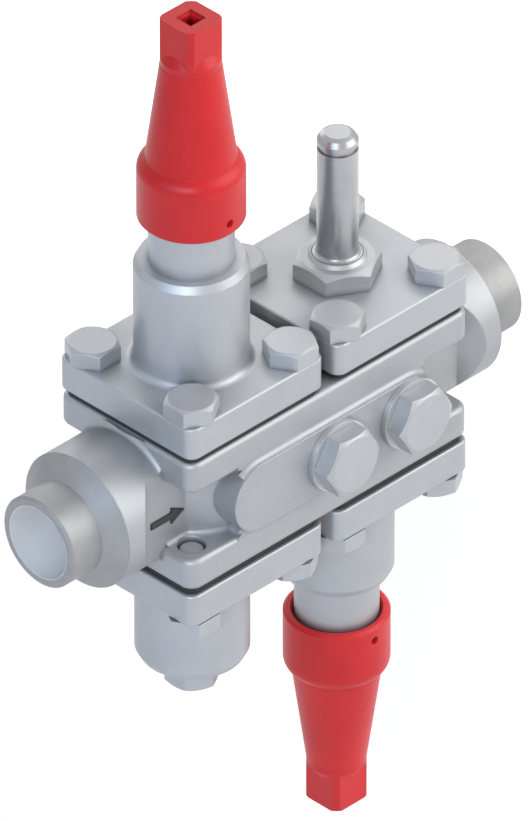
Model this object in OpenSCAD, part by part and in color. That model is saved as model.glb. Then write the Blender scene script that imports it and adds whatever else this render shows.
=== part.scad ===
// Valve station for a refrigeration pipe: one cast housing that carries four valve modules.
// The pipe axis is X, the inlet pipe's end face is the origin, and +Z is up.
// Inlet column: stop valve above, strainer below. Outlet column: solenoid valve above, stop valve below.

/* [Pipe ends] */
// Outside diameter of the pipe stubs
pipe_od = 33.7; // [31:0.1:36]
// Wall of the pipe stubs
pipe_wall = 3.4; // [2.6:0.1:4.5]
// Straight length of each pipe stub
pipe_straight = 13.4; // [10:0.1:20]
// Length of the cone between pipe stub and casting
cone_len = 5.1; // [4:0.1:8]
// Bevel on the rim of each pipe stub
pipe_bevel = 1.2; // [0.4:0.1:1.8]

/* [Casting] */
// Distance between the two valve columns
pitch = 69.25; // [67:0.25:76]
// Diameter of the round barrel along the pipe axis
barrel_od = 49.7; // [48:0.1:50.6]
// Length of barrel that shows past the pads
barrel_reach = 22; // [18:0.5:30]
// Height of the pads' faces above the barrel's top
pad_rise = 0.95; // [0.5:0.05:2]
// Thickness of the pads
pad_thick = 12; // [10:0.5:16]
// Corner radius of the pads
pad_corner = 5; // [4:0.25:7]
// Fillet along the casting's edges and in its corners
cast_fillet = 2; // [1:0.1:2.5]
// Outside diameter of the upright chambers
chamber_od = 53.6; // [50:0.2:56]
// Width across the flats of the two necks
neck_width = 35.6; // [33:0.2:38]
// Length of the neck flats past the pads' ends
neck_run = 7.5; // [5:0.5:10]
// Height of the oblong port boss
boss_height = 26.4; // [24:0.2:26.6]
// Height of the port boss above the pads' sides
boss_proud = 2.1; // [1.5:0.1:4]

/* [Flow path] */
// Bore of the chambers behind the pads
chamber_bore = 35; // [33:0.5:36]
// Height of the chamber floors above the pipe axis
floor_height = 8; // [7:0.5:9]
// Bore of the casting behind the pipe stubs
cast_bore = 28; // [27:0.2:30]
// Diameter of the seat ports between upper and lower chamber
port_d = 21; // [18:0.5:22]
// Height of the seat lips
lip_height = 1.5; // [1:0.1:2]
// Width of the seat lips
lip_width = 2; // [1.5:0.1:2.5]
// Diameter of the passages that leave the chambers at a slant
slant_d = 18; // [14:0.5:19]
// Diameter of the passage between the two columns
cross_d = 14; // [12:0.5:16]

/* [Side ports] */
// Width across flats of the side plugs
plug_af = 22; // [19:0.5:23]
// Height of the side plugs' heads
plug_head = 7.4; // [6:0.1:9]
// Diameter of the side plugs' threads
plug_thread = 16.6; // [13:0.1:17]
// Length of the side plugs' threads in the boss
plug_depth = 12; // [8:0.5:13]
// Outside diameter of the side plugs' washers
plug_washer_d = 26.2; // [25:0.1:26.4]
// Thickness of the sealing washers
washer_t = 2; // [1:0.1:2.5]
// Diameter of the drillings behind the side plugs
port_drill_d = 7; // [5:0.5:9]

/* [Module flanges] */
// Side of the square flanges and of the pads under them
flange_side = 63.75; // [62.5:0.25:66]
// Thickness of the flanges
flange_thick = 12.3; // [10:0.1:15]
// Corner radius of the flanges
flange_corner = 4; // [3:0.25:6]
// Rounding of the flanges' edges
flange_edge = 0.8; // [0.4:0.1:1.2]
// Thickness of the gaskets under the flanges
gasket_thick = 2.3; // [1:0.1:3]
// Distance by which the gaskets stay behind the flanges' edges
gasket_inset = 1.4; // [0.5:0.1:2]
// Distance between bolts along one side of a flange
bolt_pitch = 46.8; // [45.5:0.1:47.6]
// Diameter of the bolts' threads
bolt_d = 10; // [8:0.5:10]
// Width across flats of the bolts' heads
bolt_af = 17; // [13:0.5:17]
// Height of the bolts' heads
bolt_head = 6.4; // [5:0.1:8]
// Distance between the bolts' tips and the pads' inner faces
bolt_tip_gap = 1.5; // [0.5:0.1:3]

/* [Stop valves] */
// Diameter of the stop valves' round bodies
bonnet_d = 39.2; // [37:0.2:40.4]
// Height of the stop valves' round bodies above the flange
bonnet_height = 40.9; // [34:0.5:50]
// Diameter of the necks above the round bodies
neck_d = 29.2; // [28.4:0.2:30]
// Height of the necks above the round bodies
neck_height = 30.6; // [28:0.2:34]
// Diameter of the spindles
spindle_d = 12; // [10:0.5:13]
// Diameter of the spindles' thread
spindle_thread = 16; // [15:0.5:17]
// Height of the spindles above their gland bush
spindle_rise = 16; // [12:0.5:20]
// Lift of the stop valves' cones
cone_lift = 6; // [3:0.5:6]
// Thickness of the cones' discs
cone_disc = 4.5; // [3.5:0.5:5]

/* [Caps] */
// Bare height of neck between round body and cap
cap_gap = 16.7; // [12:0.1:18]
// Diameter of the caps' collars
cap_d = 36.8; // [36:0.2:39]
// Height of the caps' collars
cap_collar = 19.2; // [17:0.2:22]
// Overall height of the caps
cap_height = 79.4; // [76:0.2:90]
// Width across flats of the square on top of the caps
cap_square = 16.3; // [15:0.1:17.5]
// Height of that square
cap_square_h = 15.3; // [12:0.1:18]
// Width of the square key sockets in the caps
socket_w = 5.6; // [5:0.2:8]
// Depth of the square key sockets
socket_depth = 12; // [8:0.5:13]
// Diameter of the seal wire holes in the caps' collars
wire_hole_d = 3; // [1.5:0.1:3.5]

/* [Strainer] */
// Height of the strainer's cup above the flange
cup_height = 39.8; // [34:0.1:50]
// Wall of the strainer's cup
cup_wall = 4; // [3:0.1:4.5]
// Diameter of the drain boss under the cup
drain_boss_d = 28; // [25:0.2:30]
// Width across flats of the drain plug
drain_af = 17; // [15:0.5:19]
// Height of the drain plug's head
drain_head = 8; // [6:0.2:10]
// Diameter of the drain plug's thread
drain_thread = 12; // [9:0.5:13]
// Outside diameter of the strainer basket
basket_d = 25.4; // [24:0.1:26.4]
// Rows of holes in the strainer basket
basket_rows = 6; // [4:1:7]

/* [Solenoid valve] */
// Diameter of the armature tube
tube_d = 14.2; // [13.6:0.1:15]
// Diameter of the armature tube's foot inside its nut
tube_foot_d = 17.2; // [16.4:0.1:18]
// Wall of the armature tube
tube_wall = 1.1; // [0.8:0.1:1.3]
// Height of the armature tube above the flange
tube_height = 57.4; // [50:0.2:70]
// Width across flats of the tube's nut
nut_af = 27; // [26:0.5:30]
// Height of the nut's hexagon
nut_height = 7.5; // [6:0.1:9]
// Height of the conical collar above the nut's hexagon
nut_collar = 1.3; // [1:0.1:3]
// Lift of the armature
armature_lift = 2.5; // [1.5:0.1:3]
// Diameter of the servo piston
piston_d = 26; // [25:0.1:26.6]
// Lift of the servo piston
piston_lift = 4.5; // [3:0.1:4.6]

/* [Hidden] */
$fn = 96;

// Clearances: running fits turn or slide, seated pieces only fill their hole
run_fit = 0.05;
seat_fit = 0.05;
seat_gap = 0.2;
free_gap = 0.3;
// Length by which one form is sunk into another of the same piece
weld = 1;
// Width of the flanges' bolt holes beyond the bolts
bolt_play = 1;
// Share of a hexagon's width to which its corners are turned off
hex_turned = 0.93;
// Depth to which the barrel's coves cut into barrel and pad, so that they cross and don't only touch
cove_sink = 0.03;
// Degrees by which a turned cove runs on inside its neighbour, and its step in size there
cove_lap = 3;
cove_step = 0.03;

// Stations along the pipe, from the middle of the station
pad_len = pitch + flange_side;
barrel_end = pad_len / 2 + barrel_reach;
pipe_end = barrel_end + cone_len + pipe_straight;
bore_d = pipe_od - 2 * pipe_wall;
boss_r = boss_height / 2;
boss_face = flange_side / 2 + boss_proud;

// Heights above the pipe axis, the same for the modules above and below
pad_top = barrel_od / 2 + pad_rise;
pad_low = pad_top - pad_thick;
flange_low = pad_top + gasket_thick;
flange_top = flange_low + flange_thick;
// Where the cove between the boss's round end and a pad lies, as a run from the end's centre and as a turn
cove_run = sqrt(pow(boss_r + cast_fillet, 2) - pow(pad_low - cast_fillet, 2));
cove_turn = atan2(cove_run, pad_low - cast_fillet);
lip_top = floor_height + lip_height;
lip_r = port_d / 2 + lip_width;

// Turn of the slanted passages away from the pipe axis
slant_turn = 52;
port_drill_tip = 1;

// Stop valve stations
bonnet_top = flange_top + bonnet_height;
neck_top = bonnet_top + neck_height;
bonnet_chamfer = 1.4;
bonnet_chamfer_h = 2.7;
root_fillet = 2.5;
spigot_r = chamber_bore / 2 - seat_fit;
spigot_depth = 3;
spigot_low = pad_top - spigot_depth;
spigot_wall = 3;
cavity_r = chamber_bore / 2 - spigot_wall;
cone_overlap = 1;
cone_r = lip_r + cone_overlap;
nose_gap = 1;
nose_depth = 1;
nose_r = port_d / 2 - nose_gap;
ring_thick = 2;
cone_low = lip_top + seat_gap + ring_thick;
cone_top = cone_low + cone_disc;
hub_r = 9.5;
hub_h = 8;
hub_top = cone_top + hub_h;
spindle_end_r = spindle_d / 2 - 1;
spindle_end_depth = 2;
head_room = 2.5;
cavity_top = hub_top + cone_lift + head_room;
packing_wall = 3.5;
packing_r = spindle_d / 2 + packing_wall;
packing_drop = 3;
packing_low = bonnet_top - packing_drop;
gland_depth = 16;
packing_high = neck_top - gland_depth;
gland_af = 20;
gland_head = 6;
gland_top = neck_top + gland_head;
spindle_top = gland_top + spindle_rise;
spindle_square = 8;
spindle_square_h = 10;

// Cap stations
cap_gasket_thick = 1.5;
cap_low = bonnet_top + cap_gap;
cap_collar_top = cap_low + cap_collar;
cap_top = cap_low + cap_height;
cap_shoulder_h = 5.5;
cap_shoulder_w = 2.9;
cap_foot_r = cap_d / 2 - cap_shoulder_w;
// The square's corners are turned off to this radius, and a short cone leads down from it to the long one
square_corner_r = cap_square * 0.636;
square_low = cap_top - cap_square_h;
cap_lead_h = 2.6;
cap_cone_top = square_low - cap_lead_h;
cap_tip_r = square_corner_r + 0.15;
cap_bore_r = neck_d / 2 + free_gap;
cap_step = neck_top + cap_gasket_thick + seat_gap;
cap_seat_w = 1.8;
cap_step_r = neck_d / 2 - cap_seat_w;
cap_wall = 3;
cap_roof_thick = 5;
cap_roof = cap_top - socket_depth - cap_roof_thick;
cap_hollow_rise = 3;

// Strainer stations
cup_top = flange_top + cup_height;
cup_r = bonnet_d / 2 - cup_wall;
cup_spigot_wall = 1.75;
cup_spigot_r = spigot_r - cup_spigot_wall;
drain_boss_h = 2.7;
drain_face = cup_top + drain_boss_h;
drain_washer_t = 1.5;
drain_washer_r = drain_af * 0.6;
basket_wall = 1.2;
basket_room = 3;
basket_end = cup_top - cup_wall - basket_room;
basket_hole = 3.4;
basket_per_turn = 8;
basket_bare_low = 9;
basket_bare_high = 5;

// Solenoid valve stations
nut_depth = 8;
nut_bore_floor = flange_top - nut_depth;
tube_flange_r = 10.4;
tube_flange_h = 2.5;
tube_gasket_h = 1.3;
tube_low = nut_bore_floor;
tube_top = flange_top + tube_height;
tube_foot_r = tube_foot_d / 2;
nut_thread_r = 11.5;
nut_hole_r = tube_foot_r + seat_gap;
nut_top = flange_top + nut_height + nut_collar;
nozzle_r = 4;
nozzle_bore_r = 1;
nozzle_h = 5;
nozzle_top = tube_low + nozzle_h;
armature_low = nozzle_top + seat_gap;
core_h = 15;
core_low = tube_top - core_h;
armature_top = core_low - armature_lift - free_gap;
armature_pocket_r = 3.4;
armature_pocket_h = 12;
insert_low = floor_height;
insert_top = flange_low;
insert_band_h = 9.5;
insert_band = insert_top - insert_band_h;
insert_seat_top = insert_low + 3;
insert_wall = 2.3;
insert_rest = 0.05;
groove_h = 2;
insert_groove_depth = 1.6;
ring_grooves = [insert_band + 1.5, insert_band + 5.5];
// Play of a soft ring in its groove, up and down and at its floor
ring_play = 0.05;
ring_floor_play = 0.02;
piston_low = insert_seat_top + seat_gap;
piston_head_room = 0.7;
piston_high = flange_low - piston_lift - piston_head_room;
piston_crown = 4;
piston_skirt = 3.5;
piston_groove_depth = 1.5;
piston_groove = piston_high - 4;
spring_play = 0.1;

// Places of the station's parts
module station() translate([pipe_end, 0, 0]) children();
module inlet_above() station() translate([-pitch / 2, 0, 0]) children();
module inlet_below() station() translate([-pitch / 2, 0, 0]) mirror([0, 0, 1]) children();
module outlet_above() station() translate([pitch / 2, 0, 0]) children();
module outlet_below() station() translate([pitch / 2, 0, 0]) mirror([0, 0, 1]) children();
module at_port(x) station() translate([x, -boss_face, 0]) rotate([90, 0, 0]) children();

// The four bolt places of a module; each child turns with its place round the square
module at_bolts() {
  for (turn = [0:90:270])
    rotate(turn) translate([bolt_pitch / 2, bolt_pitch / 2, 0]) children();
}

// A tube or ring from height a to height b
module ring(outer_r, inner_r, a, b) {
  translate([0, 0, a])
    difference() {
      cylinder(r = outer_r, h = b - a);
      translate([0, 0, -weld]) cylinder(r = inner_r, h = b - a + 2 * weld);
    }
}

// Outline of a plate's edge: a rectangle w wide and h high with rounded corners
module edge_outline(w, h, r) {
  translate([-w / 2, r]) square([w, h - 2 * r]);
  translate([-w / 2 + r, 0]) square([w - 2 * r, h]);
  for (x = [-w / 2 + r, w / 2 - r], y = [r, h - r])
    translate([x, y]) circle(r = r);
}

// Plate with rounded corners and rounded edges, from height a to height b
module rounded_plate(length, width, a, b, corner, edge) {
  h = b - a;
  run_x = length - 2 * corner;
  run_y = width - 2 * corner;
  translate([0, 0, a]) {
    rotate([90, 0, 90])
      linear_extrude(run_x, center = true) edge_outline(width, h, edge);
    rotate([90, 0, 0])
      linear_extrude(run_y, center = true) edge_outline(length, h, edge);
    for (turn = [0:90:270]) {
      side_x = (turn == 0 || turn == 270) ? 1 : -1;
      side_y = turn < 180 ? 1 : -1;
      translate([side_x * run_x / 2, side_y * run_y / 2, 0])
        rotate(turn)
          rotate_extrude(angle = 90)
            intersection() {
              edge_outline(2 * corner, h, edge);
              square([corner, h]);
            }
    }
  }
}

// Hexagon from height 0 up, its top corners turned off to a circle
module hexagon(af, h, chamfer_d) {
  corner_r = af / sqrt(3);
  slope = tan(30);
  intersection() {
    cylinder(r = corner_r, h = h, $fn = 6);
    rotate_extrude()
      polygon([[0, 0], [corner_r, 0], [corner_r, h - (corner_r - chamfer_d / 2) * slope],
        [chamfer_d / 2, h], [0, h]]);
  }
}

// Section of a cove in the corner between the upright x = r and the level y = 0
module cove_section(r, size) {
  difference() {
    translate([r - weld, -weld]) square([size + weld, size + weld]);
    translate([r + size, size]) circle(r = size);
  }
}

// Cove round the foot of an upright cylinder of radius r
module cove(r, size) rotate_extrude() cove_section(r, size);

// Housing

// Plan of the barrel along the pipe, cut back to the two necks
module barrel_plan() {
  half_neck = neck_width / 2;
  flare = barrel_od / 2 - half_neck;
  flats_end = pad_len / 2 + neck_run;
  polygon([
    for (side = [1, -1]) each [
      [side * pitch / 2, -side * barrel_od / 2],
      [side * pitch / 2, -side * half_neck],
      [side * flats_end, -side * half_neck],
      [side * (flats_end + flare), -side * (half_neck + flare)],
      [side * barrel_end, -side * (half_neck + flare)],
      [side * barrel_end, side * (half_neck + flare)],
      [side * (flats_end + flare), side * (half_neck + flare)],
      [side * flats_end, side * half_neck],
      [side * pitch / 2, side * half_neck],
      [side * pitch / 2, side * barrel_od / 2],
    ]
  ]);
}

module casting_barrel() {
  intersection() {
    rotate([0, 90, 0]) cylinder(d = barrel_od, h = 2 * barrel_end, center = true);
    linear_extrude(barrel_od + 2, center = true) barrel_plan();
  }
}

// Oblong outline of the port boss
module boss_outline() {
  square([pitch, boss_height], center = true);
  for (x = [-pitch / 2, pitch / 2]) translate([x, 0]) circle(r = boss_r);
}

// Filling between the boss's round end and a pad, hollowed by the cove
module boss_filling() {
  c = cast_fillet;
  touch = [cove_run, pad_low - c] * boss_r / (boss_r + c);
  difference() {
    polygon([[-weld, pad_low + c], [cove_run, pad_low + c], [cove_run, pad_low - c], touch * 0.96,
      [-weld, boss_r - weld]]);
    translate([cove_run, pad_low - c]) circle(r = c);
  }
}

// Boss for the side ports: oblong block, fillings to the pads, and coves on the pads' sides
module port_boss() {
  foot_face = boss_face - boss_proud;
  size = min(cast_fillet, boss_proud);
  rotate([90, 0, 0]) {
    linear_extrude(boss_face) boss_outline();
    for (flip_x = [0, 1], flip_z = [0, 1])
      mirror([flip_x, 0, 0]) mirror([0, flip_z, 0]) {
        translate([0, boss_r - weld, 0])
          cube([pitch / 2, cast_fillet + weld + pad_low - boss_r, foot_face]);
        translate([pitch / 2, 0, 0]) {
          linear_extrude(foot_face) boss_filling();
          translate([0, 0, foot_face])
            rotate(90 - cove_turn)
              rotate_extrude(angle = cove_turn + cove_lap) cove_section(boss_r, size - cove_step);
        }
        translate([0, 0, foot_face]) rotate([90, 0, 90])
          linear_extrude(pitch / 2) cove_section(boss_r, size);
      }
  }
}

// Coves of the neck: upright ones at the chamber, level ones under the ears
module neck_coves() {
  c = cast_fillet;
  half_neck = neck_width / 2;
  chamber_r = chamber_od / 2;
  out = half_neck + c;
  along = sqrt(pow(chamber_r + c, 2) - out * out);
  inner = [along, out] * (chamber_r - weld) / (chamber_r + c);
  ear_run = flange_side / 2 - c - along;
  for (flip_x = [0, 1], flip_y = [0, 1])
    mirror([flip_x, 0, 0]) mirror([0, flip_y, 0]) translate([pitch / 2, 0, 0]) {
      linear_extrude(2 * pad_low + weld, center = true)
        difference() {
          polygon([[along, half_neck - weld], [along, out], inner, [inner[0], half_neck - weld]]);
          translate([along, out]) circle(r = c);
        }
      for (flip_z = [0, 1]) mirror([0, 0, flip_z])
        translate([along - weld, 0, -pad_low]) rotate([90, 0, 90])
          linear_extrude(ear_run + weld) cove_section(half_neck, c);
    }
}

// Coves where the barrel leaves the pads' ends
module barrel_coves() {
  c = cast_fillet;
  half_turn = asin(neck_width / barrel_od) + cove_lap;
  barrel_top = barrel_od / 2;
  roof = (barrel_top + pad_top) / 2 + 0.1;
  for (flip_x = [0, 1], flip_z = [0, 1])
    mirror([flip_x, 0, 0]) mirror([0, 0, flip_z]) translate([pad_len / 2, 0, 0])
      intersection() {
        rotate([0, 90, 0]) rotate(180 - half_turn)
          rotate_extrude(angle = 2 * half_turn)
            translate([-cove_sink, -cove_sink]) cove_section(barrel_top, c);
        rotate([90, 0, 0])
          linear_extrude(neck_width - 2 * cove_sink, center = true)
            polygon([[-weld, 0], [c, 0], [c, roof - c / 8], [0, roof], [-weld, roof]]);
      }
}

module casting() {
  for (flip = [0, 1]) mirror([0, 0, flip])
    rounded_plate(pad_len, flange_side, pad_low, pad_top, pad_corner, cast_fillet);
  for (x = [-pitch / 2, pitch / 2])
    translate([x, 0, 0]) {
      cylinder(d = chamber_od, h = 2 * pad_low + 2 * weld, center = true);
      for (flip = [0, 1]) mirror([0, 0, flip])
        translate([0, 0, -pad_low]) cove(chamber_od / 2, cast_fillet);
    }
  casting_barrel();
  barrel_coves();
  neck_coves();
  for (flip = [0, 1]) mirror([0, flip, 0]) port_boss();
}

// Passage from one pipe end to the chamber above it
module end_passage() {
  chamber_x = -pitch / 2;
  turn_x = chamber_x - chamber_od / 2;
  difference() {
    union() {
      translate([-barrel_end - weld, 0, 0]) rotate([0, 90, 0])
        cylinder(d = cast_bore, h = turn_x + barrel_end + weld);
      translate([turn_x, 0, 0]) sphere(d = cast_bore);
      translate([turn_x, 0, 0]) rotate([0, slant_turn, 0]) cylinder(d = slant_d, h = chamber_od / 2);
    }
    translate([chamber_x, 0, 0]) cylinder(r = lip_r + 1, h = 4 * pad_top, center = true);
  }
}

module column_bores() {
  for (x = [-pitch / 2, pitch / 2], flip = [0, 1])
    translate([x, 0, 0]) mirror([0, 0, flip]) {
      difference() {
        translate([0, 0, floor_height]) cylinder(d = chamber_bore, h = pad_top);
        ring(lip_r, port_d / 2, floor_height - weld, lip_top);
      }
      translate([0, 0, -weld]) cylinder(d = port_d, h = pad_top);
      at_bolts() translate([0, 0, pad_low - weld]) cylinder(d = bolt_d, h = pad_thick + 2 * weld);
    }
}

module cross_passage() {
  run = chamber_bore;
  rotate([0, 45, 0]) cylinder(d = cross_d, h = run * sqrt(2), center = true);
}

module port_drillings() {
  for (x = [0, pitch / 2])
    translate([x, 0, 0]) rotate([90, 0, 0]) {
      cylinder(d = port_drill_d, h = boss_face);
      translate([0, 0, boss_face - plug_depth - port_drill_tip])
        cylinder(d = plug_thread, h = plug_depth + port_drill_tip + weld);
    }
}

module housing() {
  color("lightsteelblue")
    station()
      difference() {
        casting();
        for (turn = [0, 180]) rotate([0, turn, 0]) end_passage();
        column_bores();
        cross_passage();
        port_drillings();
      }
}

// Pipe stub with its cone, welded to the end of the barrel
module nipple() {
  rotate([0, 90, 0])
    rotate_extrude()
      polygon([
        [bore_d / 2, 0], [pipe_od / 2 - pipe_bevel, 0], [pipe_od / 2, pipe_bevel * tan(30)],
        [pipe_od / 2, pipe_straight], [barrel_od / 2, pipe_straight + cone_len],
        [bore_d / 2, pipe_straight + cone_len],
      ]);
}

module inlet_nipple() color("silver") nipple();
module outlet_nipple() color("silver") translate([2 * pipe_end, 0, 0]) mirror([1, 0, 0]) nipple();

// Side port plugs, drawn with the boss face at height 0

module port_plug() {
  color("gainsboro") {
    translate([0, 0, washer_t]) hexagon(plug_af, plug_head, plug_af * hex_turned);
    translate([0, 0, -plug_depth])
      cylinder(d = plug_thread - 2 * seat_fit, h = plug_depth + washer_t + weld);
  }
}

module port_washer() color("darkgray") ring(plug_washer_d / 2, plug_thread / 2 + seat_fit, 0, washer_t);

module middle_port_plug() at_port(0) port_plug();
module middle_port_washer() at_port(0) port_washer();
module outlet_port_plug() at_port(pitch / 2) port_plug();
module outlet_port_washer() at_port(pitch / 2) port_washer();

// Pieces that every module has

module bolt_holes(a, b) {
  at_bolts() translate([0, 0, a - weld]) cylinder(d = bolt_d + bolt_play, h = b - a + 2 * weld);
}

module flange() {
  rounded_plate(flange_side, flange_side, flange_low, flange_top, flange_corner, flange_edge);
}

module gasket() {
  side = flange_side - 2 * gasket_inset;
  color("dimgray")
    difference() {
      translate([0, 0, pad_top])
        linear_extrude(gasket_thick) {
          square([side, side - 2 * flange_corner], center = true);
          square([side - 2 * flange_corner, side], center = true);
          for (x = [-1, 1], y = [-1, 1])
            translate([x, y] * (side / 2 - flange_corner)) circle(r = flange_corner);
        }
      translate([0, 0, pad_top - weld]) cylinder(r = chamber_bore / 2, h = gasket_thick + 2 * weld);
      bolt_holes(pad_top, flange_low);
    }
}

module bolts(head_turn) {
  tip = pad_low + bolt_tip_gap;
  shank_r = bolt_d / 2 - seat_fit;
  tip_chamfer = 1;
  color("gainsboro")
    at_bolts() {
      translate([0, 0, flange_top]) rotate(head_turn) hexagon(bolt_af, bolt_head, bolt_af * hex_turned);
      rotate_extrude()
        polygon([[0, tip], [shank_r - tip_chamfer, tip], [shank_r, tip + tip_chamfer],
          [shank_r, flange_top + weld], [0, flange_top + weld]]);
    }
}

// Stop valve, drawn for the inlet column above the pipe

// Half section of the stop valve's bonnet above its flange
module bonnet_section() {
  r = bonnet_d / 2;
  polygon([[0, flange_low], [r, flange_low], [r, bonnet_top - bonnet_chamfer_h],
    [r - bonnet_chamfer, bonnet_top], [neck_d / 2, bonnet_top], [neck_d / 2, neck_top - 1],
    [neck_d / 2 - 1, neck_top], [0, neck_top]]);
}

module stop_bonnet() {
  color("lightsteelblue")
    difference() {
      union() {
        flange();
        rotate_extrude() bonnet_section();
        translate([0, 0, flange_top]) cove(bonnet_d / 2, root_fillet);
        translate([0, 0, spigot_low]) cylinder(r = spigot_r, h = flange_low - spigot_low + weld);
      }
      bolt_holes(flange_low, flange_top);
      translate([0, 0, spigot_low - weld]) cylinder(r = cavity_r, h = cavity_top - spigot_low + weld);
      cylinder(r = spindle_thread / 2 + run_fit, h = neck_top);
      translate([0, 0, packing_low]) cylinder(r = packing_r, h = neck_top);
    }
}

// Cone with its nose, disc and hub, bored for the spindle's end
module stop_cone() {
  color("silver")
    difference() {
      rotate_extrude()
        polygon([[0, lip_top - nose_depth], [nose_r - 1, lip_top - nose_depth], [nose_r, lip_top],
          [nose_r, cone_low], [cone_r, cone_low], [cone_r, cone_top], [hub_r, cone_top], [hub_r, hub_top],
          [0, hub_top]]);
      translate([0, 0, cone_top - spindle_end_depth])
        cylinder(r = spindle_end_r + run_fit, h = hub_top);
    }
}

module stop_cone_ring() {
  color("white") ring(cone_r - free_gap, nose_r, lip_top + seat_gap, cone_low);
}

// Spindle: end in the cone, collar, thread, plain shaft, square top
module stop_spindle() {
  r = spindle_d / 2;
  end_low = cone_top - spindle_end_depth + seat_gap;
  thread_low = hub_top + seat_gap;
  thread_high = packing_low - cone_lift - 2;
  color("silver")
    intersection() {
      rotate_extrude()
        polygon([[0, end_low], [spindle_end_r, end_low], [spindle_end_r, thread_low],
          [spindle_thread / 2, thread_low], [spindle_thread / 2, thread_high], [r, thread_high + 1],
          [r, spindle_top - 1], [r - 1, spindle_top], [0, spindle_top]]);
      union() {
        cylinder(r = spindle_thread, h = spindle_top - spindle_square_h);
        linear_extrude(spindle_top) square(spindle_square, center = true);
      }
    }
}

module stop_packing() {
  play = seat_gap / 2;
  half = (packing_high - packing_low) / 2;
  color("dimgray")
    for (low = [packing_low + play, packing_low + half + play])
      ring(packing_r - seat_fit, spindle_d / 2 + run_fit, low, low + half - seat_gap);
}

// Gland bush that presses the packing down, with a hexagon above the neck
module stop_gland() {
  color("goldenrod")
    difference() {
      union() {
        translate([0, 0, packing_high]) cylinder(r = packing_r - seat_fit, h = neck_top - packing_high);
        translate([0, 0, neck_top]) hexagon(gland_af, gland_head, gland_af * hex_turned);
      }
      translate([0, 0, packing_high - weld]) cylinder(r = spindle_d / 2 + run_fit, h = neck_top);
    }
}

// Outline of the cap: collar with its rounded shoulder, then the long cone
module cap_section() {
  r = cap_d / 2;
  mouth = 1;
  polygon([[0, cap_low], [r - mouth, cap_low], [r, cap_low + mouth], [r, cap_collar_top],
    [cap_foot_r, cap_collar_top], [cap_foot_r, cap_collar_top + cap_shoulder_h],
    [cap_tip_r, cap_cone_top], [0, cap_cone_top]]);
  intersection() {
    translate([r - cap_shoulder_h, cap_collar_top]) circle(r = cap_shoulder_h);
    translate([0, cap_collar_top - weld]) square([r, cap_shoulder_h + weld]);
  }
}

// Hollow of the cap: thread bore over the neck, step for the gasket, long cone over the spindle
module cap_hollow() {
  hollow_tip = cap_tip_r - cap_wall;
  rotate_extrude()
    polygon([[0, cap_low - weld], [cap_bore_r + 1 + weld, cap_low - weld], [cap_bore_r, cap_low + 1],
      [cap_bore_r, cap_step], [cap_step_r, cap_step], [cap_step_r, cap_collar_top + cap_hollow_rise],
      [hollow_tip, cap_roof - 2], [hollow_tip - 2, cap_roof], [0, cap_roof]]);
}

// Square for the cap's spanner, its corners turned off, on a cone as steep as the corners' run-out
module cap_square_top() {
  half = cap_square / 2;
  cut = 0.5;
  run_out = 3.5;
  intersection() {
    translate([0, 0, cap_cone_top - weld])
      linear_extrude(cap_top) square(cap_square, center = true);
    rotate_extrude()
      polygon([[0, 0], [square_corner_r, 0], [square_corner_r, cap_top - cut],
        [square_corner_r - cut, cap_top], [0, cap_top]]);
  }
  rotate_extrude()
    polygon([[0, cap_cone_top - weld], [cap_tip_r - 0.1, cap_cone_top - weld],
      [cap_tip_r - 0.1, cap_cone_top], [square_corner_r, square_low], [half - 0.1, square_low + run_out],
      [0, square_low + run_out]]);
}

module stop_cap() {
  lead = 0.8;
  color("firebrick")
    difference() {
      union() {
        rotate_extrude() cap_section();
        cap_square_top();
      }
      cap_hollow();
      translate([0, 0, cap_top - socket_depth])
        linear_extrude(socket_depth + weld) square(socket_w, center = true);
      translate([0, 0, cap_top - lead])
        linear_extrude(lead + weld) square(socket_w + 2 * lead, center = true);
      translate([0, 0, cap_low + cap_collar * 0.27])
        rotate([90, 0, 0]) cylinder(d = wire_hole_d, h = cap_d);
    }
}

module stop_cap_gasket() {
  color("dimgray") ring(cap_bore_r - seat_fit, cap_step_r, neck_top + seat_gap, cap_step);
}

module inlet_bonnet() inlet_above() stop_bonnet();
module inlet_gasket() inlet_above() gasket();
module inlet_bolts() inlet_above() bolts(30);
module inlet_cone() inlet_above() stop_cone();
module inlet_cone_ring() inlet_above() stop_cone_ring();
module inlet_spindle() inlet_above() stop_spindle();
module inlet_packing() inlet_above() stop_packing();
module inlet_gland() inlet_above() stop_gland();
module inlet_cap() inlet_above() stop_cap();
module inlet_cap_gasket() inlet_above() stop_cap_gasket();

module outlet_bonnet() outlet_below() stop_bonnet();
module outlet_gasket() outlet_below() gasket();
module outlet_bolts() outlet_below() bolts(0);
module outlet_cone() outlet_below() stop_cone();
module outlet_cone_ring() outlet_below() stop_cone_ring();
module outlet_spindle() outlet_below() stop_spindle();
module outlet_packing() outlet_below() stop_packing();
module outlet_gland() outlet_below() stop_gland();
module outlet_cap() outlet_below() stop_cap();
module outlet_cap_gasket() outlet_below() stop_cap_gasket();

// Strainer module below the inlet column

module strainer_gasket() inlet_below() gasket();
module strainer_bolts() inlet_below() bolts(0);

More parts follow.
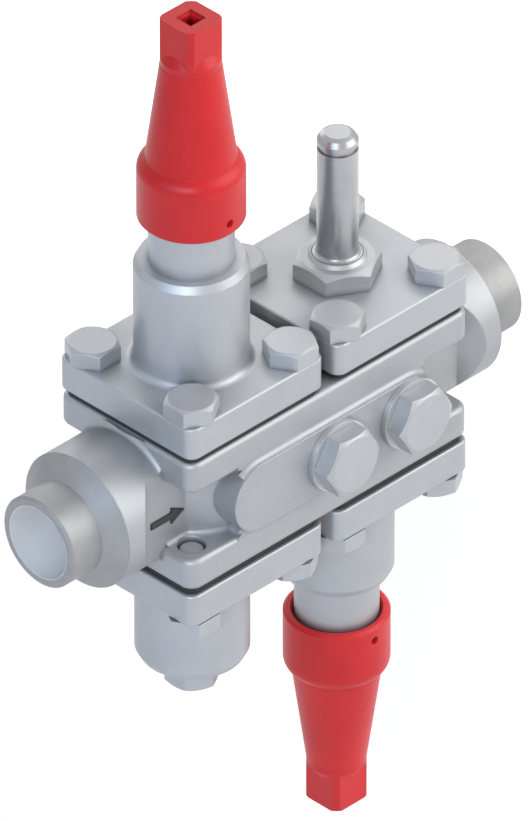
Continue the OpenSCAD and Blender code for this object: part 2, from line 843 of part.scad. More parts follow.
module strainer_bonnet() {
  r = bonnet_d / 2;
  inlet_below()
    color("lightsteelblue")
      difference() {
        union() {
          flange();
          rotate_extrude()
            polygon([[0, flange_low], [r, flange_low], [r, cup_top - bonnet_chamfer_h],
              [r - bonnet_chamfer, cup_top], [drain_boss_d / 2, cup_top],
              [drain_boss_d / 2, drain_face - 0.5], [drain_boss_d / 2 - 0.5, drain_face],
              [0, drain_face]]);
          translate([0, 0, flange_top]) cove(bonnet_d / 2, root_fillet);
          translate([0, 0, spigot_low]) cylinder(r = spigot_r, h = flange_low - spigot_low + weld);
        }
        bolt_holes(flange_low, flange_top);
        translate([0, 0, spigot_low - weld])
          cylinder(r = cup_spigot_r, h = flange_low - spigot_low + 2 * weld);
        translate([0, 0, flange_low + weld])
          cylinder(r = cup_r, h = cup_top - cup_wall - flange_low - weld);
        cylinder(d = drain_thread, h = drain_face + weld);
      }
}

// Perforated basket, from the seat lip to the bottom of the cup
module strainer_basket() {
  r = basket_d / 2;
  low = lip_top + seat_fit;
  step = (basket_end - low - basket_bare_low - basket_bare_high) / basket_rows;
  inlet_below()
    color("silver")
      difference() {
        translate([0, 0, low]) cylinder(r = r, h = basket_end - low);
        translate([0, 0, low - weld])
          cylinder(r = r - basket_wall, h = basket_end - low + weld - basket_wall);
        for (row = [0:basket_rows - 1], k = [0:basket_per_turn / 2 - 1])
          translate([0, 0, low + basket_bare_low + (row + 0.5) * step])
            rotate([0, 0, (k + (row % 2) / 2) * 360 / basket_per_turn])
              rotate([90, 0, 0]) cylinder(d = basket_hole, h = 4 * r, center = true, $fn = 16);
      }
}

module drain_plug() {
  inlet_below()
    color("gainsboro") {
      translate([0, 0, drain_face + drain_washer_t])
        rotate(90) hexagon(drain_af, drain_head, drain_af * hex_turned);
      translate([0, 0, cup_top - cup_wall])
        cylinder(d = drain_thread - 2 * seat_fit, h = cup_wall + drain_boss_h + drain_washer_t + weld);
    }
}

module drain_washer() {
  inlet_below()
    color("darkgray")
      ring(drain_washer_r, drain_thread / 2 + seat_fit, drain_face, drain_face + drain_washer_t);
}

// Solenoid module above the outlet column

module solenoid_bonnet() {
  outlet_above()
    color("lightsteelblue")
      difference() {
        flange();
        bolt_holes(flange_low, flange_top);
        translate([0, 0, nut_bore_floor]) cylinder(r = nut_thread_r, h = flange_top);
        translate([0, 0, flange_low - weld]) cylinder(r = nozzle_r, h = flange_thick);
        translate([0, 0, tube_low - tube_gasket_h]) cylinder(r = tube_flange_r, h = flange_top);
      }
}

module solenoid_gasket() outlet_above() gasket();
module solenoid_bolts() outlet_above() bolts(30);

module pilot_nozzle() {
  outlet_above()
    color("goldenrod")
      rotate_extrude()
        polygon([[nozzle_bore_r, flange_low], [nozzle_r - seat_fit, flange_low],
          [nozzle_r - seat_fit, tube_low], [nozzle_bore_r + 1.5, nozzle_top], [nozzle_bore_r, nozzle_top]]);
}

module tube_gasket() {
  outlet_above()
    color("dimgray") ring(tube_flange_r - seat_fit, nozzle_r + 1, tube_low - tube_gasket_h, tube_low);
}

// Armature tube: foot flange, thin tube, solid fixed core with a waist and a domed end
module armature_tube() {
  r = tube_d / 2;
  waist_low = tube_top - 6.1;
  waist_high = tube_top - 4.3;
  waist = 0.7;
  dome = 2.6;
  foot_top = tube_low + tube_flange_h;
  flare = tube_foot_r - r;
  outlet_above()
    color("lightslategray")
      difference() {
        rotate_extrude()
          polygon([[0, tube_low], [tube_flange_r - seat_fit, tube_low], [tube_flange_r - seat_fit, foot_top],
            [tube_foot_r, foot_top], [tube_foot_r, nut_top],
            for (turn = [15:15:75]) [tube_foot_r - flare * sin(turn), nut_top + flare * (1 - cos(turn))],
            [r, nut_top + flare], [r, waist_low], [r - waist, waist_low], [r - waist, waist_high],
            [r, waist_high], [r, tube_top - dome], [r - 1.2, tube_top - 0.8], [r - 2.7, tube_top],
            [0, tube_top]]);
        translate([0, 0, tube_low - weld]) cylinder(r = r - tube_wall, h = core_low - tube_low + weld);
      }
}

// Nut that holds the tube's flange down
module tube_nut() {
  low = tube_low + tube_flange_h;
  outlet_above()
    color("silver")
      difference() {
        union() {
          translate([0, 0, flange_top]) rotate(90) hexagon(nut_af, nut_height, nut_af * hex_turned);
          translate([0, 0, flange_top + nut_height])
            cylinder(r1 = nut_hole_r + nut_collar, r2 = nut_hole_r + 0.3, h = nut_collar);
          translate([0, 0, low]) cylinder(r = nut_thread_r - seat_fit, h = flange_top - low + weld);
        }
        translate([0, 0, low - weld]) cylinder(r = nut_hole_r, h = tube_height);
      }
}

module armature() {
  r = tube_d / 2 - tube_wall - run_fit;
  outlet_above()
    color("lightgray")
      difference() {
        translate([0, 0, armature_low]) cylinder(r = r, h = armature_top - armature_low);
        translate([0, 0, armature_top - armature_pocket_h])
          cylinder(r = armature_pocket_r, h = armature_pocket_h + weld);
      }
}

// Round wire wound at radius r from height a to height b
function coil_point(r, a, b, turns, t) =
  [r * cos(360 * turns * t), r * sin(360 * turns * t), a + (b - a) * t];

module coil_spring(r, wire_r, a, b, turns) {
  steps = turns * 14;
  sides = 8;
  points = [
    for (i = [0:steps])
      let (at = coil_point(r, a + wire_r, b - wire_r, turns, i / steps), out = [at[0], at[1], 0] / r)
        for (k = [0:sides - 1])
          at + wire_r * (cos(360 * k / sides) * out + sin(360 * k / sides) * [0, 0, 1])
  ];
  walls = [
    for (i = [0:steps - 1], k = [0:sides - 1])
      let (here = i * sides, next = (k + 1) % sides)
        [here + k, here + next, here + sides + next, here + sides + k]
  ];
  first = [for (k = [sides - 1:-1:0]) k];
  last = [for (k = [0:sides - 1]) steps * sides + k];
  polyhedron(points, concat([first], walls, [last]));
}

module armature_spring() {
  outlet_above()
    color("gray")
      coil_spring(2.5, 0.5, armature_top - armature_pocket_h + spring_play, core_low - spring_play, 6);
}

// Insert in the upper outlet chamber: seat, windows, and the bore that guides the piston
module valve_insert() {
  guide_r = piston_d / 2 + run_fit;
  seat_r = port_d / 2 - 1;
  outlet_above()
    color("silver")
      difference() {
        rotate_extrude()
          polygon([[seat_r, lip_top + insert_rest], [lip_r + 1, lip_top + insert_rest],
            [lip_r + 1, insert_low + insert_rest], [guide_r + insert_wall, insert_low + insert_rest],
            [guide_r + insert_wall, insert_band], [spigot_r, insert_band], [spigot_r, insert_top],
            [guide_r, insert_top], [guide_r, insert_seat_top], [seat_r, insert_seat_top]]);
        for (turn = [0:60:120])
          rotate(turn) translate([0, 0, (insert_seat_top + insert_band) / 2])
            rotate([90, 0, 0])
              cylinder(d = insert_band - insert_seat_top - 1, h = 4 * guide_r, center = true);
        for (low = ring_grooves)
          ring(spigot_r + weld, spigot_r - insert_groove_depth, low, low + groove_h);
      }
}

module insert_rings() {
  outlet_above()
    color("dimgray")
      for (low = ring_grooves)
        ring(chamber_bore / 2 - 0.01, spigot_r - insert_groove_depth + ring_floor_play, low + ring_play,
          low + groove_h - ring_play);
}

module servo_piston() {
  outlet_above()
    color("gainsboro")
      difference() {
        translate([0, 0, piston_low]) cylinder(r = piston_d / 2, h = piston_high - piston_low);
        translate([0, 0, piston_low + piston_crown])
          cylinder(r = piston_d / 2 - piston_skirt, h = piston_high);
        ring(piston_d, piston_d / 2 - piston_groove_depth, piston_groove, piston_groove + groove_h);
      }
}

module piston_ring() {
  floor_r = piston_d / 2 - piston_groove_depth + ring_floor_play;
  outlet_above()
    color("white")
      ring(piston_d / 2, floor_r, piston_groove + ring_play, piston_groove + groove_h - ring_play);
}

module piston_spring() {
  outlet_above()
    color("gray")
      coil_spring(7.5, 0.8, piston_low + piston_crown + spring_play, flange_low - spring_play, 4);
}

housing();
inlet_nipple();
outlet_nipple();
middle_port_plug();
middle_port_washer();
outlet_port_plug();
outlet_port_washer();
inlet_bonnet();
inlet_gasket();
inlet_bolts();
inlet_cone();
inlet_cone_ring();
inlet_spindle();
inlet_packing();
inlet_gland();
inlet_cap();
inlet_cap_gasket();
outlet_bonnet();
outlet_gasket();
outlet_bolts();
outlet_cone();
outlet_cone_ring();
outlet_spindle();
outlet_packing();
outlet_gland();
outlet_cap();
outlet_cap_gasket();
strainer_bonnet();
strainer_gasket();
strainer_bolts();
strainer_basket();
drain_plug();
drain_washer();
solenoid_bonnet();
solenoid_gasket();
solenoid_bolts();
pilot_nozzle();
tube_gasket();
armature_tube();
tube_nut();
armature();
armature_spring();
valve_insert();
insert_rings();
servo_piston();
piston_ring();
piston_spring();
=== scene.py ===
import math

import bmesh
import bpy
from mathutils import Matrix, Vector


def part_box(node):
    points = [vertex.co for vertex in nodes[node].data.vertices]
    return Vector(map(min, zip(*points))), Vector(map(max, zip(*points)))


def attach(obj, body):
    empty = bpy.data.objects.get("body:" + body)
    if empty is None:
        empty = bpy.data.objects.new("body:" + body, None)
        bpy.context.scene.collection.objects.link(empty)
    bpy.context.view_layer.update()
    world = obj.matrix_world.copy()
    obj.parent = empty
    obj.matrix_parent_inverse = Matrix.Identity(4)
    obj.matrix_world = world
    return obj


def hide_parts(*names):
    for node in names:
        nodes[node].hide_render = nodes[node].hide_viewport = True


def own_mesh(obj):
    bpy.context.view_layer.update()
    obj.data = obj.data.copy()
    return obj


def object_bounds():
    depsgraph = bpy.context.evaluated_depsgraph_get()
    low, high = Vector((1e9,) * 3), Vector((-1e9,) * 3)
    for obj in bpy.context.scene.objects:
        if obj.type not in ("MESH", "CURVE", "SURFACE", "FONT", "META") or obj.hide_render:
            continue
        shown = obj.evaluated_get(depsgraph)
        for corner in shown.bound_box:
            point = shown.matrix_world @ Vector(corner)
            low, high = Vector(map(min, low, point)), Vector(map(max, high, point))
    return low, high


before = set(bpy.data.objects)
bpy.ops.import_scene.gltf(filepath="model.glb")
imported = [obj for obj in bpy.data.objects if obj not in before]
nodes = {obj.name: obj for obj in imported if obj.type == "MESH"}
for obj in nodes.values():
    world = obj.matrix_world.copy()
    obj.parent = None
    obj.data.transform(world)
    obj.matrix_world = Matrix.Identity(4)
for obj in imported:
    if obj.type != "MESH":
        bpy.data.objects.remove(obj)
cad_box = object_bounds()
MM = 0.001

# View: an isometric look at the station's middle, with a long lens that keeps the edges parallel
PHOTO_HEIGHT_PX = 821
PHOTO_PX_PER_MM = 2.97
PHOTO_CENTRE_PX = (265.5, 410.5)
STATION_PX = (264.7, 412.1)
LENS_MM = 1000
SENSOR_MM = 36
ISO_TURN = -45
ISO_RISE = math.degrees(math.atan(math.sqrt(0.5)))

# Sizes read from the CAD nodes
MIDDLE_X = (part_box("inlet_nipple")[0].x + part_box("outlet_nipple")[1].x) / 2
FLANGE_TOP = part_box("solenoid_bonnet")[1].z
HALF_PITCH = (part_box("solenoid_bonnet")[0].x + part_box("solenoid_bonnet")[1].x) / 2 - MIDDLE_X
NECK_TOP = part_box("inlet_bonnet")[1].z

# Sizes that the boxes of the nodes don't give: half the bolts' square, the pipe's bore and the narrow band
# where the painted light on the bore ends, the flat's place on the inlet neck, and the radius under the
# caps
HALF_BOLTS = 23.4 * MM
BORE_R = 13.45 * MM
BORE_EDGE = (0.1 * MM, 0.3 * MM)
NECK_FLAT = 17.8 * MM
NECK_R = 14.6 * MM

# Threads: the pitch, how far the bolts' rings reach, how softly they end sideways and upwards and how
# strong they are, and the necks' ridge
THREAD_PITCH = 1.5 * MM
THREAD_REACH = 5.3 * MM
THREAD_EDGE_R, THREAD_EDGE_Z = 0.05 * MM, 0.1 * MM
THREAD_RELIEF = 2.5
NECK_THREAD_RISE = 0.24 * MM
NECK_THREAD_LOW, NECK_THREAD_HIGH = NECK_TOP - 11 * MM, NECK_TOP - 2 * MM

# Flow arrow: its tail's place along the pipe and up, its face's height above the casting, how deep its
# foot is sunk, how round its rim is, its length and where its head starts, and half the widths of stem
# and head
ARROW_AT = (35.3 * MM, -2.4 * MM)
ARROW_RISE = 0.7 * MM
ARROW_SUNK = 0.3 * MM
ARROW_ROUND = 0.35 * MM
ARROW_LENGTH, ARROW_HEAD = 15.5 * MM, 9.3 * MM
ARROW_STEM_HALF, ARROW_HEAD_HALF = 1.3 * MM, 3.3 * MM

# Light: the surround's level, and the floor's glow towards the camera, which carries its lit parts to white
WORLD_LEVEL = 0.13
FLOOR_GLOW = 0.37

# Floor: a disc below the lower cap's whole travel, whose glow grows to plain white before its rim
FLOOR_DROP = 66 * MM
FLOOR_R = 0.7
FLOOR_SIDES = 96
FLOOR_NEAR, FLOOR_FAR = 0.3, 0.62


# Node helpers


class Material:
    """A procedural material: nodes are added with add() and joined by passing their outputs as inputs."""

    def __init__(self, name):
        self.data = bpy.data.materials.new(name)
        self.data.use_nodes = True
        self.tree = self.data.node_tree
        self.shader = self.tree.nodes["Principled BSDF"]
        place = self.add("TexCoord")
        self.place = place.outputs["Object"]

    def add(self, kind, settings=None, **inputs):
        node = self.tree.nodes.new("ShaderNode" + kind)
        for key, value in (settings or {}).items():
            setattr(node, key, value)
        for key, value in inputs.items():
            self.plug(node.inputs[key.replace("_", " ")], value)
        return node

    def plug(self, socket, value):
        if isinstance(value, bpy.types.NodeSocket):
            self.tree.links.new(value, socket)
        else:
            socket.default_value = value

    def shade(self, **inputs):
        for key, value in inputs.items():
            self.plug(self.shader.inputs[key.replace("_", " ")], value)

    def noise(self, size_mm, detail=3, rough=0.55, where=None):
        """Noise whose patches are about size_mm across, as a value from 0 to 1."""
        node = self.add("TexNoise", Vector=where or self.place, Detail=detail, Roughness=rough)
        node.inputs["Scale"].default_value = 1 / (size_mm * MM)
        return node.outputs["Fac"]

    def span(self, value, low, high, to_low=0.0, to_high=1.0):
        node = self.add("MapRange", Value=value)
        for key, number in zip(("From Min", "From Max", "To Min", "To Max"), (low, high, to_low, to_high)):
            node.inputs[key].default_value = number
        return node.outputs["Result"]

    def math(self, operation, a, b=0.0):
        node = self.add("Math", {"operation": operation, "use_clamp": operation == "ADD"})
        self.plug(node.inputs[0], a)
        self.plug(node.inputs[1], b)
        return node.outputs[0]

    def mix(self, factor, a, b):
        node = self.add("Mix", {"data_type": "RGBA", "blend_type": "MIX"})
        self.plug(node.inputs["Factor"], factor)
        self.plug(node.inputs[6], a)
        self.plug(node.inputs[7], b)
        return node.outputs[2]

    def crease_shade(self, reach_mm):
        """1 in the open, towards 0 in corners and gaps within reach_mm: the mask of the painted shade."""
        node = self.add("AmbientOcclusion", {"samples": 6}, Distance=reach_mm * MM)
        return node.outputs["AO"]

    def edges(self, radius_mm):
        """The rounded normal of the edges, and a mask that is 1 on them."""
        bevel = self.add("Bevel", {"samples": 4}, Radius=radius_mm * MM)
        flat = self.add("NewGeometry")
        turn = self.add("VectorMath", {"operation": "DOT_PRODUCT"})
        self.plug(turn.inputs[0], bevel.outputs["Normal"])
        self.plug(turn.inputs[1], flat.outputs["Normal"])
        return bevel.outputs["Normal"], self.span(turn.outputs["Value"], 0.995, 0.85)

    def bump(self, height, depth_mm, strength, normal):
        node = self.add("Bump", Strength=strength, Distance=depth_mm * MM, Height=height, Normal=normal)
        return node.outputs["Normal"]


def grey(level, blue=0.0):
    return (level, level * (1 + blue * 0.35), level * (1 + blue), 1)


def bolt_threads(m, grain):
    """Adds the threads' rings to a grain, round the axes of the sixteen flange bolts and their holes."""
    apart = m.add("SeparateXYZ", Vector=m.place)
    x, y, z = apart.outputs
    from_middle = m.math("ABSOLUTE", m.math("SUBTRACT", x, MIDDLE_X))
    column = m.math("ABSOLUTE", m.math("SUBTRACT", from_middle, HALF_PITCH))
    run = m.math("SUBTRACT", column, HALF_BOLTS)
    across = m.math("SUBTRACT", m.math("ABSOLUTE", y), HALF_BOLTS)
    away = m.math("SQRT", m.math("ADD", m.math("MULTIPLY", run, run), m.math("MULTIPLY", across, across)))
    ring = m.math("SINE", m.math("MULTIPLY", z, 2 * math.pi / THREAD_PITCH))
    inside = m.span(away, THREAD_REACH, THREAD_REACH + THREAD_EDGE_R, 1, 0)
    outer = m.span(m.math("ABSOLUTE", z), FLANGE_TOP, FLANGE_TOP + THREAD_EDGE_Z, 1, 0)
    share = m.math("MULTIPLY", inside, m.math("MULTIPLY", outer, THREAD_RELIEF))
    return m.math("ADD", grain, m.math("MULTIPLY", ring, share))


def cast_finish(
    name, level, grain_mm, grain_depth, metallic=0.35, rough=0.46, blue=0.05, bevel=0.35, threads=False
):
    """Blasted and zinc coated steel: a fine grain, cloudy brightness, a painted highlight on the edges and
    painted shade in the corners.
    """
    m = Material(name)
    rounded, highlight_edge = m.edges(bevel)
    cloud = m.noise(14, 4, 0.6)
    grain = m.noise(grain_mm, 5, 0.7)
    tone = m.mix(m.span(cloud, 0.3, 0.7), grey(level * 0.93, blue), grey(level * 1.05, blue))
    tone = m.mix(m.span(grain, 0.35, 0.65, 0, 0.35), tone, grey(level * 0.85, blue * 0.6))
    # Painted highlight: the edges are coloured lighter than the steel.
    tone = m.mix(m.math("MULTIPLY", highlight_edge, 0.35), tone, grey(min(level * 1.3, 0.95), blue * 0.5))
    # Painted shade: corners and gaps within 3 mm are coloured towards dark grey.
    tone = m.mix(m.span(m.crease_shade(3), 0.25, 0.8, 0.75, 0), tone, grey(level * 0.22))
    relief = bolt_threads(m, grain) if threads else grain
    m.shade(Base_Color=tone, Metallic=metallic, Normal=m.bump(relief, grain_depth, 0.5, rounded))
    m.shade(Roughness=m.span(cloud, 0.3, 0.7, rough - 0.05, rough + 0.06))
    return m.data


def turned_finish(
    name, level, axis, groove_mm=0.25, metallic=0.8, rough=0.3, blue=0.03, relief=0.4, lines=0.2,
    painted_light_bore=False,
):
    """Machined steel with fine grooves across the axis, 0 for the pipe's and 2 for an upright stem's, with
    a painted highlight on the edges and painted shade in the corners.
    """
    m = Material(name)
    rounded, highlight_edge = m.edges(0.2)
    cloud = m.noise(9, 3)
    scale = [0.08, 0.08, 0.08]
    scale[axis] = 1
    stretched = m.add("Mapping", Vector=m.place)
    stretched.inputs["Scale"].default_value = scale
    groove = m.noise(groove_mm, 3, 0.6, stretched.outputs["Vector"])
    tone = m.mix(m.span(cloud, 0.3, 0.7), grey(level * 0.92, blue), grey(level * 1.04, blue))
    tone = m.mix(m.span(groove, 0.3, 0.7, 0, lines), tone, grey(level * 0.85, blue))
    # Painted highlight: the edges are coloured lighter than the steel.
    tone = m.mix(m.math("MULTIPLY", highlight_edge, 0.4), tone, grey(min(level * 1.25, 0.97)))
    # Painted shade: corners and gaps within 2 mm are coloured towards near black.
    tone = m.mix(m.span(m.crease_shade(2), 0.25, 0.8, 0.8, 0), tone, grey(level * 0.15))
    # Painted light: the bore is coloured near-white and less metallic, so that it reads lit where it lies
    # in shade.
    if painted_light_bore:
        apart = m.add("SeparateXYZ", Vector=m.place)
        _, y, z = apart.outputs
        away = m.math("SQRT", m.math("ADD", m.math("MULTIPLY", y, y), m.math("MULTIPLY", z, z)))
        bore = m.span(away, BORE_R + BORE_EDGE[0], BORE_R + BORE_EDGE[1], 1, 0)
        tone = m.mix(bore, tone, m.mix(m.span(cloud, 0.3, 0.7), grey(0.92), grey(0.97)))
        metallic = m.span(bore, 0, 1, metallic, 0.05)
    m.shade(Base_Color=tone, Metallic=metallic, Normal=m.bump(groove, 0.012, relief, rounded))
    m.shade(Roughness=m.span(groove, 0.3, 0.7, rough - 0.3 * lines, rough + 0.4 * lines))
    return m.data


def red_finish():
    """Moulded red plastic: satin, with a fine grain, a painted highlight on the edges and painted shade in
    the corners.
    """
    m = Material("cap_red")
    rounded, highlight_edge = m.edges(0.35)
    cloud = m.noise(22, 3)
    grain = m.noise(0.5, 4, 0.65)
    tone = m.mix(m.span(cloud, 0.3, 0.7), (0.66, 0.021, 0.024, 1), (0.74, 0.028, 0.03, 1))
    # Painted highlight: the edges are coloured paler red.
    tone = m.mix(m.math("MULTIPLY", highlight_edge, 0.35), tone, (0.8, 0.09, 0.085, 1))
    # Painted shade: corners and gaps within 2 mm are coloured towards dark red.
    tone = m.mix(m.span(m.crease_shade(2), 0.25, 0.8, 0.7, 0), tone, (0.12, 0.008, 0.01, 1))
    m.shade(Base_Color=tone, Normal=m.bump(grain, 0.03, 0.35, rounded))
    m.shade(Roughness=m.span(grain, 0.3, 0.7, 0.34, 0.46))
    m.shader.inputs["Specular IOR Level"].default_value = 0.3
    return m.data


def plain_finish(name, dark, light, grain_mm, depth, rough, metallic=0.0):
    """A matt or ground material with two close colours and a fine grain."""
    m = Material(name)
    rounded, _ = m.edges(0.15)
    grain = m.noise(grain_mm, 4, 0.6)
    m.shade(Base_Color=m.mix(m.span(grain, 0.3, 0.7), dark + (1,), light + (1,)), Metallic=metallic)
    m.shade(Normal=m.bump(grain, depth, 0.5, rounded))
    m.shade(Roughness=m.span(grain, 0.3, 0.7, rough - 0.06, rough + 0.06))
    return m.data


# Materials of the record's slots

FINISHES = {
    "cast_steel": cast_finish(
        "cast_steel", 0.41, 0.9, 0.09, metallic=0.5, blue=0.06, bevel=0.7, threads=True
    ),
    "flange_steel": cast_finish("flange_steel", 0.45, 0.6, 0.04, metallic=0.5, rough=0.44, blue=0.08),
    # The nipples' bores get painted light: a near-white colour in place of their shade.
    "weld_steel": turned_finish(
        "weld_steel", 0.34, 0, 0.8, metallic=0.5, rough=0.5, blue=0, relief=0.04, lines=0.1,
        painted_light_bore=True,
    ),
    "bolt_steel": cast_finish(
        "bolt_steel", 0.46, 0.4, 0.02, metallic=0.5, rough=0.42, blue=0.05, threads=True
    ),
    "gasket_black": plain_finish(
        "gasket_black", (0.012, 0.012, 0.013), (0.03, 0.03, 0.032), 0.7, 0.05, 0.75
    ),
    "cap_red": red_finish(),
    "spindle_steel": turned_finish("spindle_steel", 0.6, 2, 0.15, metallic=0.9, rough=0.24),
    "brass": plain_finish("brass", (0.56, 0.4, 0.16), (0.66, 0.49, 0.21), 0.5, 0.01, 0.3, 1.0),
    "ptfe": plain_finish("ptfe", (0.78, 0.78, 0.76), (0.86, 0.86, 0.84), 0.8, 0.01, 0.5),
    "tube_steel": turned_finish(
        "tube_steel", 0.38, 2, 0.6, metallic=0.7, rough=0.3, relief=0.04, lines=0.06
    ),
    "spring_steel": plain_finish(
        "spring_steel", (0.3, 0.31, 0.33), (0.42, 0.43, 0.45), 0.4, 0.01, 0.35, 1.0
    ),
    "mesh_steel": plain_finish("mesh_steel", (0.5, 0.51, 0.52), (0.62, 0.63, 0.64), 0.5, 0.02, 0.35, 0.9),
    "washer_metal": plain_finish("washer_metal", (0.5, 0.5, 0.51), (0.6, 0.6, 0.61), 0.5, 0.02, 0.42, 0.8),
}


def dress_nodes():
    """Gives each CAD node the finish of its slot in the record."""
    for name, node in nodes.items():
        for place in node.material_slots:
            slot = place.material.name.split(".")[0]
            if slot in FINISHES:
                place.material = FINISHES[slot]
            else:
                print("no finish for", name, slot)


# Stage


def stage_floor():
    """A pale disc under the station, with its shadow near the middle and plain white at the rim."""
    low = cad_box[0].z - FLOOR_DROP
    mesh = bpy.data.meshes.new("floor")
    turns = [2 * math.pi * i / FLOOR_SIDES for i in range(FLOOR_SIDES)]
    rim = [(MIDDLE_X + FLOOR_R * math.cos(a), FLOOR_R * math.sin(a), low) for a in turns]
    mesh.from_pydata(rim, [], [tuple(range(FLOOR_SIDES))])
    floor = bpy.data.objects.new("floor", mesh)
    bpy.context.scene.collection.objects.link(floor)
    m = Material("floor_white")
    m.shade(Base_Color=(0.86, 0.86, 0.86, 1), Roughness=0.9)
    middle = m.add("VectorMath", {"operation": "DISTANCE"})
    m.plug(middle.inputs[0], m.place)
    m.plug(middle.inputs[1], (MIDDLE_X, 0, low))
    glow = m.span(middle.outputs["Value"], FLOOR_NEAR, FLOOR_FAR, FLOOR_GLOW, 1)
    m.shade(Emission_Color=(1, 1, 1, 1), Emission_Strength=seen_rays(m.tree, glow))
    open_from_below(m)
    floor.data.materials.append(m.data)


def open_from_below(m):
    """Lets a view from beneath look through the floor, which still takes the light from above."""
    side = m.add("NewGeometry")
    rays = m.add("LightPath")
    under = m.math("MULTIPLY", side.outputs["Backfacing"], rays.outputs["Is Camera Ray"])
    clear = m.add("BsdfTransparent")
    blend = m.add("MixShader")
    m.plug(blend.inputs[0], under)
    m.plug(blend.inputs[1], m.shader.outputs[0])
    m.plug(blend.inputs[2], clear.outputs[0])
    m.plug(m.tree.nodes["Material Output"].inputs["Surface"], blend.outputs[0])


def seen_rays(tree, level):
    """The level, a number or an output, for rays seen directly, in gloss or in glass, and 0 for others."""
    rays = tree.nodes.new("ShaderNodeLightPath")
    seen = rays.outputs["Is Camera Ray"]
    for name in ("Is Glossy Ray", "Is Transmission Ray"):
        either = tree.nodes.new("ShaderNodeMath")
        either.operation = "MAXIMUM"
        tree.links.new(seen, either.inputs[0])
        tree.links.new(rays.outputs[name], either.inputs[1])
        seen = either.outputs[0]
    share = tree.nodes.new("ShaderNodeMath")
    share.operation = "MULTIPLY"
    if isinstance(level, bpy.types.NodeSocket):
        tree.links.new(level, share.inputs[1])
    else:
        share.inputs[1].default_value = level
    tree.links.new(seen, share.inputs[0])
    return share.outputs[0]


def studio_world():
    """A dim surround that lights the station, and plain white where it is seen."""
    world = bpy.data.worlds.new("studio")
    world.use_nodes = True
    bpy.context.scene.world = world
    tree = world.node_tree
    lit = tree.nodes["Background"]
    lit.inputs["Color"].default_value = (0.93, 0.95, 1, 1)
    lit.inputs["Strength"].default_value = WORLD_LEVEL
    white = tree.nodes.new("ShaderNodeBackground")
    white.inputs["Color"].default_value = (1, 1, 1, 1)
    mix = tree.nodes.new("ShaderNodeMixShader")
    tree.links.new(seen_rays(tree, 1), mix.inputs[0])
    tree.links.new(lit.outputs[0], mix.inputs[1])
    tree.links.new(white.outputs[0], mix.inputs[2])
    tree.links.new(mix.outputs[0], tree.nodes["World Output"].inputs["Surface"])


def lamp(name, direction, distance, size, watts, colour=(1, 1, 1)):
    """A round soft lamp that faces the station's middle from a direction and a distance."""
    light = bpy.data.lights.new(name, "AREA")
    light.shape = "DISK"
    light.size = size
    light.energy = watts
    light.color = colour
    item = bpy.data.objects.new(name, light)
    centre = (cad_box[0] + cad_box[1]) / 2
    item.location = centre + Vector(direction).normalized() * distance
    item.rotation_mode = "QUATERNION"
    item.rotation_quaternion = (centre - item.location).to_track_quat("-Z", "Y")
    bpy.context.scene.collection.objects.link(item)


def photo_camera():
    """A camera far off with a long lens, which frames the station as the photo does."""
    turn, rise = math.radians(ISO_TURN), math.radians(ISO_RISE)
    back = Vector((math.sin(turn) * math.cos(rise), -math.cos(turn) * math.cos(rise), math.sin(rise)))
    data = bpy.data.cameras.new("photo")
    data.lens = LENS_MM
    data.sensor_width = SENSOR_MM
    height = PHOTO_HEIGHT_PX / PHOTO_PX_PER_MM * MM
    distance = height * LENS_MM / SENSOR_MM
    data.clip_start, data.clip_end = distance / 10, distance * 3
    camera = bpy.data.objects.new("photo", data)
    camera.rotation_mode = "QUATERNION"
    camera.rotation_quaternion = (-back).to_track_quat("-Z", "Y")
    camera.rotation_mode = "XYZ"
    bpy.context.scene.collection.objects.link(camera)
    right = camera.matrix_basis.to_3x3() @ Vector((1, 0, 0))
    up = camera.matrix_basis.to_3x3() @ Vector((0, 1, 0))
    aim = Vector((MIDDLE_X, 0, 0))
    shift_right = (PHOTO_CENTRE_PX[0] - STATION_PX[0]) / PHOTO_PX_PER_MM * MM
    shift_down = (PHOTO_CENTRE_PX[1] - STATION_PX[1]) / PHOTO_PX_PER_MM * MM
    camera.location = aim + right * shift_right - up * shift_down + back * distance
    bpy.context.scene.camera = camera


# Added pieces


def link(name, mesh, slot, body, finish=None):
    """Puts a mesh into the scene with its own or its slot's finish, riding on a body of the frame."""
    piece = bpy.data.objects.new(name, mesh)
    bpy.context.scene.collection.objects.link(piece)
    mesh.materials.clear()
    mesh.materials.append(finish or FINISHES[slot])
    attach(piece, body)
    return piece


def flow_arrow():
    """The raised arrow on the neck's flat that shows the way of the flow."""
    face = -NECK_FLAT
    length, head = ARROW_LENGTH, ARROW_HEAD
    stem_half, head_half = ARROW_STEM_HALF, ARROW_HEAD_HALF
    outline = [
        (0, -stem_half), (head, -stem_half), (head, -head_half), (length, 0),
        (head, head_half), (head, stem_half), (0, stem_half),
    ]
    work = bmesh.new()
    corners = []
    for along, up in outline:
        corners.append(work.verts.new((ARROW_AT[0] + along, face + ARROW_SUNK, ARROW_AT[1] + up)))
    foot = work.faces.new(corners)
    grown = bmesh.ops.extrude_face_region(work, geom=[foot])
    raised = [v for v in grown["geom"] if isinstance(v, bmesh.types.BMVert)]
    bmesh.ops.translate(work, verts=raised, vec=(0, -ARROW_SUNK - ARROW_RISE, 0))
    rim = [e for e in work.edges if all(v in raised for v in e.verts)]
    bmesh.ops.bevel(work, geom=rim, offset=ARROW_ROUND, segments=3, affect="EDGES", profile=0.5)
    bmesh.ops.recalc_face_normals(work, faces=work.faces)
    mesh = bpy.data.meshes.new("flow_arrow")
    work.to_mesh(mesh)
    work.free()
    paint = plain_finish("arrow_black", (0.012, 0.012, 0.014), (0.04, 0.04, 0.042), 0.9, 0.06, 0.5)
    link("flow_arrow", mesh, "cast_steel", "root", paint)


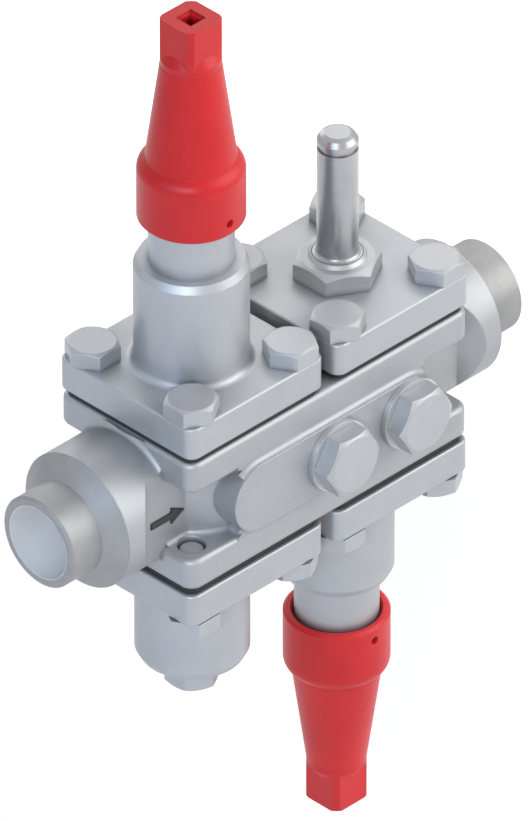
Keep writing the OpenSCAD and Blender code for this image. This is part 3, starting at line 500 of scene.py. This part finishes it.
def helix_thread(name, x, side):
    """A neck thread's ridge, run out to nothing at both ends; side is 1 above the pipe and -1 below."""
    steps_a_turn = 72
    run_out = 20
    sink = 0.05 * MM
    root_r = NECK_R - 2 * sink
    height_all = NECK_THREAD_HIGH - NECK_THREAD_LOW
    steps = round(height_all / THREAD_PITCH * steps_a_turn)
    points, faces = [], []
    for i in range(steps + 1):
        angle = 2 * math.pi * i / steps_a_turn
        height = NECK_THREAD_LOW + height_all * i / steps
        fade = min(1, i / run_out, (steps - i) / run_out)
        tip_r = NECK_R - sink + (NECK_THREAD_RISE + sink) * fade
        half, crest = THREAD_PITCH * (0.05 + 0.37 * fade), THREAD_PITCH * 0.06
        for r, h in ((root_r, -half), (tip_r, -crest), (tip_r, crest), (root_r, half)):
            points.append((x + r * math.cos(angle), side * r * math.sin(angle), side * (height + h)))
    for i in range(steps):
        for k in range(4):
            a, b = 4 * i + k, 4 * i + (k + 1) % 4
            faces.append((a, b, b + 4, a + 4))
    faces.append((3, 2, 1, 0))
    last = 4 * steps
    faces.append((last, last + 1, last + 2, last + 3))
    mesh = bpy.data.meshes.new(name)
    mesh.from_pydata(points, [], faces)
    work = bmesh.new()
    work.from_mesh(mesh)
    bmesh.ops.recalc_face_normals(work, faces=work.faces)
    work.to_mesh(mesh)
    work.free()
    link(name, mesh, "flange_steel", "root")


def cap_threads():
    """The threads on the stop valves' necks, under the caps."""
    helix_thread("inlet_neck_thread", MIDDLE_X - HALF_PITCH, 1)
    helix_thread("outlet_neck_thread", MIDDLE_X + HALF_PITCH, -1)


def squeezed_spring(node):
    """A copy of a spring with its own mesh, riding on the root body, in place of the CAD node, which is
    hidden.
    """
    spring = link(node + "_wound", nodes[node].data.copy(), "spring_steel", "root")
    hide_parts(node)
    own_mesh(spring)


dress_nodes()
flow_arrow()
cap_threads()
squeezed_spring("armature_spring")
squeezed_spring("piston_spring")
stage_floor()
studio_world()
lamp("key", (0.9, -1.0, 0.8), distance=1.6, size=1.7, watts=21, colour=(1, 0.99, 0.98))
lamp("fill", (-1.0, -0.25, 0.5), distance=1.6, size=0.7, watts=8.4, colour=(0.33, 0.56, 0.88))
lamp("bore", (-0.85, -0.65, 0.5), distance=1.2, size=0.3, watts=4.6)
lamp("top", (0.75, 0.35, 0.9), distance=0.7, size=0.4, watts=0.7)
lamp("back", (0.4, 1.0, 0.5), distance=1.6, size=1.0, watts=4)
photo_camera()

bpy.context.scene.view_settings.view_transform = "Standard"
